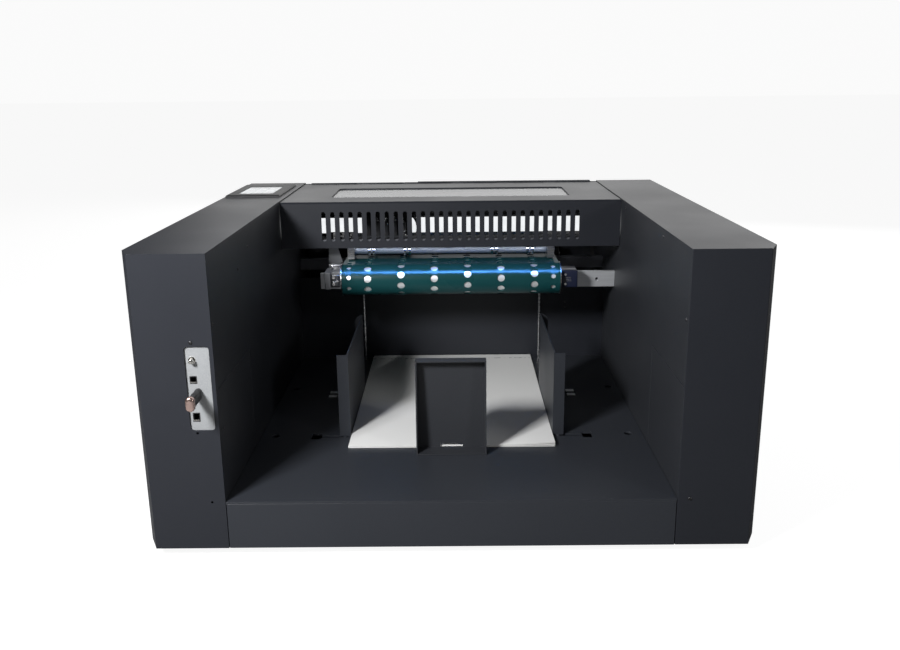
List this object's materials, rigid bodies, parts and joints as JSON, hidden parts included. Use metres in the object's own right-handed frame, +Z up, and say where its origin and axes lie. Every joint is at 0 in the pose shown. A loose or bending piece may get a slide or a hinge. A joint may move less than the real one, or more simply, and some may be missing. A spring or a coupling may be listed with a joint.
{
  "type": "flatbed uv printer",
  "caption": "Bench-top sheet-fed UV printer with two towers, hinged vented bridge cover, perforated vacuum belt, UV lamp, print carriage and an open delivery bay.",
  "frame": {"origin": "centre of the bounding box's footprint, on the floor under the feet", "axes": "+Z up, +X to the right seen from the delivery side, +Y from the delivery side towards the infeed"},
  "size_m": [0.864, 0.915, 0.4405],
  "materials": {
    "powder_coat": "satin",
    "dark_cover": "satin",
    "rubber": "matte",
    "bare_steel": "brushed",
    "aluminium": "satin",
    "blue_block": "satin",
    "belt_green": "satin",
    "black_rubber": "matte",
    "lamp_body": "satin",
    "uv_glass": "gloss",
    "white_enamel": "gloss",
    "black_plastic": "matte",
    "window_glass": "gloss",
    "screen": "gloss",
    "panel_grey": "satin",
    "nickel": "polished",
    "rose_metal": "satin",
    "light_cover": "gloss",
    "paper": "matte"
  },
  "bodies": {
    "frame": {"base_pan": "powder_coat", "feet": "rubber", "left_casing": "powder_coat", "right_casing": "powder_coat", "left_inner_cover": "dark_cover", "right_inner_cover": "dark_cover", "bed_plate": "powder_coat", "front_panel": "powder_coat", "bay_back_wall": "dark_cover", "rear_panel": "powder_coat", "infeed_table": "powder_coat", "rear_bar": "lamp_body", "conveyor_bar": "aluminium", "bearing_left": "aluminium", "bearing_right": "blue_block", "gusset_plate": "bare_steel", "belt": "belt_green", "platen": "aluminium", "exit_bracket_left": "bare_steel", "exit_bracket_right": "bare_steel", "drive_motor": "black_plastic", "drive_belt": "black_rubber", "uv_lamp": "lamp_body", "uv_lens": "uv_glass", "gantry_beam": "white_enamel", "light_bar": "light_cover", "linear_rail": "bare_steel", "carriage_motor": "black_plastic", "carriage_belt": "black_rubber", "display_bezel": "black_plastic", "display_screen": "screen", "service_panel": "panel_grey", "socket_liners": "black_plastic", "sheet_stack": "paper", "guide_rods": "bare_steel", "fan_frame": "black_plastic", "controller_box": "lamp_body", "power_supply": "aluminium", "power_inlet": "black_plastic", "screws": "bare_steel"},
    "front_roller": {"front_roller": "bare_steel", "roller_flanges": "bare_steel"},
    "drive_roller": {"drive_roller": "bare_steel", "drive_pulley": "aluminium"},
    "motor_pulley": {"motor_pulley": "aluminium"},
    "exit_shaft": {"exit_shaft": "bare_steel", "exit_collars": "bare_steel"},
    "print_carriage": {"print_carriage": "black_plastic", "print_head": "aluminium"},
    "carriage_pulley": {"carriage_pulley": "aluminium"},
    "idler_pulley": {"idler_pulley": "aluminium"},
    "hood": {"hood": "powder_coat", "hood_window": "window_glass"},
    "left_guide": {"left_guide": "powder_coat"},
    "right_guide": {"right_guide": "powder_coat"},
    "guide_pinion": {"guide_pinion": "aluminium"},
    "end_stop": {"end_stop": "dark_cover"},
    "push_button": {"push_button": "nickel"},
    "service_knob": {"service_knob": "rose_metal"},
    "fan_rotor": {"fan_rotor": "black_plastic"}
  },
  "joints": [
    {"name": "drive_roller_spin", "type": "hinge", "parent": "frame", "child": "drive_roller", "pos_m": [0, 0.3445, 0.287], "axis": [1, 0, 0], "continuous": true},
    {"name": "front_roller_spin", "type": "hinge", "parent": "frame", "child": "front_roller", "pos_m": [0, 0.0985, 0.287], "axis": [1, 0, 0], "continuous": true},
    {"name": "motor_pulley_spin", "type": "hinge", "parent": "frame", "child": "motor_pulley", "pos_m": [0, 0.3195, 0.196], "axis": [1, 0, 0], "continuous": true},
    {"name": "exit_shaft_spin", "type": "hinge", "parent": "frame", "child": "exit_shaft", "pos_m": [0, 0.1595, 0.33], "axis": [1, 0, 0], "continuous": true},
    {"name": "carriage_slide", "type": "slide", "parent": "frame", "child": "print_carriage", "axis": [1, 0, 0], "range_m": [-0.1, 0.37]},
    {"name": "carriage_pulley_spin", "type": "hinge", "parent": "frame", "child": "carriage_pulley", "pos_m": [-0.285, 0.3095, 0.391], "axis": [0, 0, 1], "continuous": true},
    {"name": "idler_pulley_spin", "type": "hinge", "parent": "frame", "child": "idler_pulley", "pos_m": [0.285, 0.3095, 0.391], "axis": [0, 0, 1], "continuous": true},
    {"name": "hood_hinge", "type": "hinge", "parent": "frame", "child": "hood", "pos_m": [0, 0.3865, 0.433], "axis": [-1, 0, 0], "range_deg": [0, 65]},
    {"name": "right_guide_slide", "type": "slide", "parent": "frame", "child": "right_guide", "axis": [1, 0, 0], "range_m": [0, 0.044]},
    {"name": "left_guide_slide", "type": "slide", "parent": "frame", "child": "left_guide", "axis": [-1, 0, 0], "range_m": [0, 0.044]},
    {"name": "guide_pinion_spin", "type": "hinge", "parent": "frame", "child": "guide_pinion", "pos_m": [0, -0.0785, 0.0685], "axis": [0, 0, 1], "continuous": true},
    {"name": "end_stop_slide", "type": "slide", "parent": "frame", "child": "end_stop", "axis": [0, -1, 0], "range_m": [0, 0.12]},
    {"name": "button_press", "type": "slide", "parent": "frame", "child": "push_button", "axis": [0, 1, 0], "range_m": [0, 0.003], "stiffness_N_per_m": 400, "springref_m": -0.002},
    {"name": "knob_turn", "type": "hinge", "parent": "frame", "child": "service_knob", "pos_m": [-0.3385, -0.4155, 0.244], "axis": [0, 1, 0], "range_deg": [-60, 60]},
    {"name": "fan_spin", "type": "hinge", "parent": "frame", "child": "fan_rotor", "pos_m": [-0.2, 0.3855, 0.2], "axis": [0, 1, 0], "continuous": true}
  ],
  "couplings": [
    {"joint": "front_roller_spin", "follows": "drive_roller_spin", "ratio": 1},
    {"joint": "motor_pulley_spin", "follows": "drive_roller_spin", "ratio": 1.6},
    {"joint": "carriage_pulley_spin", "follows": "carriage_slide", "rad_per_m": 112.36},
    {"joint": "idler_pulley_spin", "follows": "carriage_slide", "rad_per_m": 112.36},
    {"joint": "left_guide_slide", "follows": "right_guide_slide", "ratio": 1},
    {"joint": "guide_pinion_spin", "follows": "right_guide_slide", "rad_per_m": 62.5}
  ]
}
